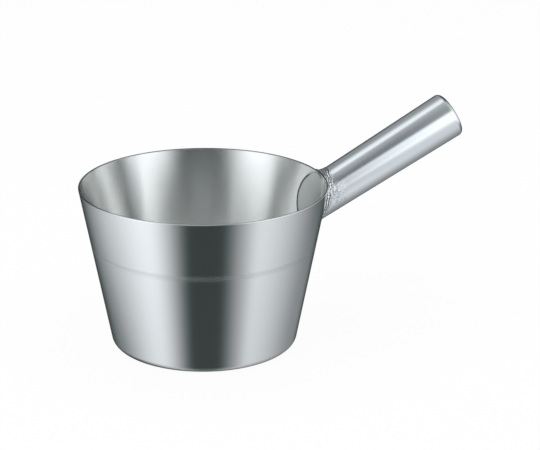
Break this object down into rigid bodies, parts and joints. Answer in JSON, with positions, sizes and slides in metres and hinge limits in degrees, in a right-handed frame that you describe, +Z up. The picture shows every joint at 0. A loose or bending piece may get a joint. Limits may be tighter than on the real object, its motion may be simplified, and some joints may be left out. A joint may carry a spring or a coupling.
{
  "type": "tapered dipping ladle",
  "caption": "Tapered round dipping cup in polished sheet steel with a short closed tubular handle welded on at a steep upward angle just under the rim.",
  "frame": {"origin": "centre of the cup's flat underside", "axes": "+Z up along the cup's axis, +X towards the handle, which lies in the XZ plane"},
  "size_m": [0.2903, 0.18, 0.1684],
  "materials": {
    "cup_steel": "fine circumferential polish, satin to bright",
    "handle_steel": "polished tapered tube, mottled by the weld near its root",
    "plate_steel": "duller rolled sheet",
    "weld_steel": "rippled weld metal"
  },
  "bodies": {
    "root": {"cup": "cup_steel", "handle": "handle_steel", "backing_plate": "plate_steel", "root_weld": "weld_steel"}
  },
  "joints": []
}
